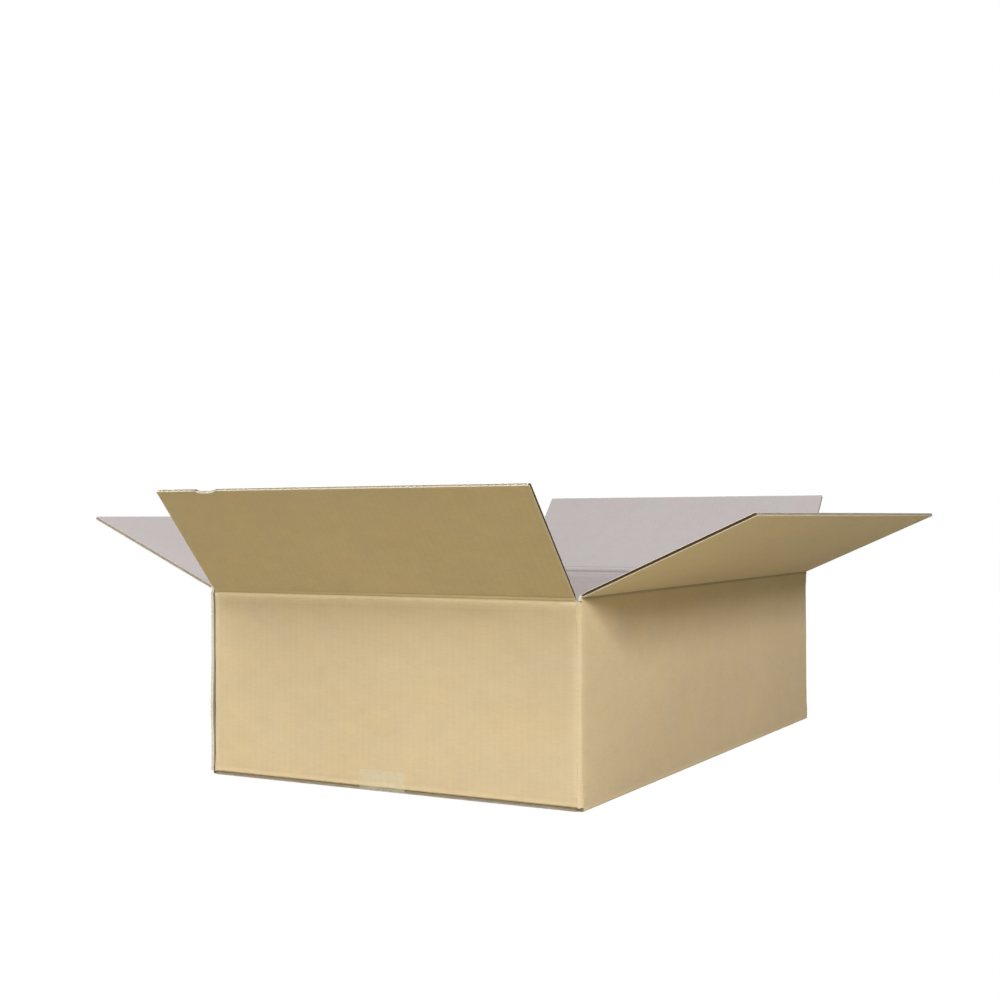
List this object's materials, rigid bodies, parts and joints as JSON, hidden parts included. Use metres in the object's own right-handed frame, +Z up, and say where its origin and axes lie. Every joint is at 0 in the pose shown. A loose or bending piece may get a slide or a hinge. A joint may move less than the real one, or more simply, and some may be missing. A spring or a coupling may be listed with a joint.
{
  "type": "open cardboard box",
  "caption": "Erected shipping carton of plain brown corrugated board, taped shut at the bottom, with its top flaps folded out and hinged at their creases.",
  "frame": {"origin": "middle of the underside, on the plane the box stands on", "axes": "+Z up, +Y from the front short wall to the back short wall along the box's length, +X to the right along the front wall"},
  "size_m": [0.6794, 0.7794, 0.2649],
  "materials": {
    "kraft_board": "matte",
    "clear_tape": "gloss"
  },
  "bodies": {
    "box": {"carton_body": "kraft_board", "bottom_tape": "clear_tape"},
    "front": {"front_flap": "kraft_board"},
    "back": {"back_flap": "kraft_board"},
    "left": {"left_flap": "kraft_board"},
    "right": {"right_flap": "kraft_board"}
  },
  "joints": [
    {"name": "front_crease", "type": "hinge", "parent": "box", "child": "front", "pos_m": [0.0015, -0.30915, 0.17], "axis": [-1, 0, 0], "range_deg": [-134, 131]},
    {"name": "back_crease", "type": "hinge", "parent": "box", "child": "back", "pos_m": [0.0015, 0.30915, 0.17], "axis": [1, 0, 0], "range_deg": [-134, 131]},
    {"name": "left_crease", "type": "hinge", "parent": "box", "child": "left", "pos_m": [-0.19265, 0, 0.1733], "axis": [0, 1, 0], "range_deg": [-109, 156]},
    {"name": "right_crease", "type": "hinge", "parent": "box", "child": "right", "pos_m": [0.19265, 0, 0.1733], "axis": [0, -1, 0], "range_deg": [-109, 156]}
  ]
}
